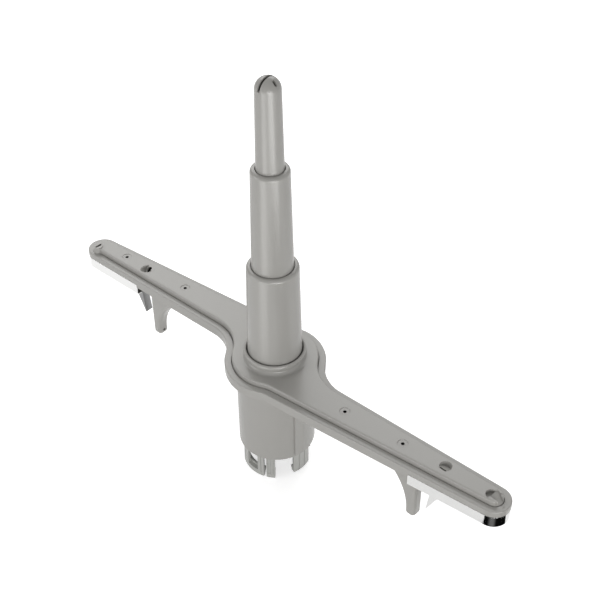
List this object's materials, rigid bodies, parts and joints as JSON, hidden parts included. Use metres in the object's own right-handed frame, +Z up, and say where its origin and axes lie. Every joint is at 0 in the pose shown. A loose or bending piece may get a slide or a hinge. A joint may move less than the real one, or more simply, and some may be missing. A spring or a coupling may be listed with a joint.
{
  "type": "dishwasher spray arm",
  "caption": "Dishwasher spray arm: S-shaped hollow arm on a clip-on bearing, with angled jets, hollow legs, steel tip shoes and a telescoping spray tower.",
  "frame": {"origin": "on the turning axis, in the plane of the bearing claws' feet", "axes": "+Z up along the turning axis and the tower, +X along the arm towards the tip with the two slanted cups, +Y across the arm"},
  "size_m": [0.48, 0.0864, 0.3879],
  "materials": {
    "arm_plastic": "fine matte moulded polypropylene, mid grey",
    "bearing_plastic": "matte moulded plastic, a lighter grey",
    "shoe_steel": "bright polished stainless sheet",
    "seal_rubber": "black rubber"
  },
  "bodies": {
    "bearing": {"bearing_sleeve": "bearing_plastic", "bearing_washer": "bearing_plastic", "inlet_seal": "seal_rubber"},
    "arm": {"tower_seat": "arm_plastic", "lower_shell": "arm_plastic", "upper_shell": "arm_plastic", "steel_shoe_right": "shoe_steel", "steel_shoe_left": "shoe_steel"},
    "lower_stage": {"lower_tube": "arm_plastic"},
    "middle_stage": {"middle_tube": "arm_plastic"},
    "tip_stage": {"tip_nozzle": "arm_plastic"}
  },
  "joints": [
    {"name": "arm_spin", "type": "hinge", "parent": "bearing", "child": "arm", "pos_m": [0, 0, 0.06], "axis": [0, 0, 1], "continuous": true},
    {"name": "lower_stage_slide", "type": "slide", "parent": "arm", "child": "lower_stage", "axis": [0, 0, 1], "range_m": [-0.076, 0]},
    {"name": "middle_stage_slide", "type": "slide", "parent": "lower_stage", "child": "middle_stage", "axis": [0, 0, 1], "range_m": [-0.0968, 0]},
    {"name": "tip_stage_slide", "type": "slide", "parent": "middle_stage", "child": "tip_stage", "axis": [0, 0, 1], "range_m": [-0.0792, 0]}
  ]
}
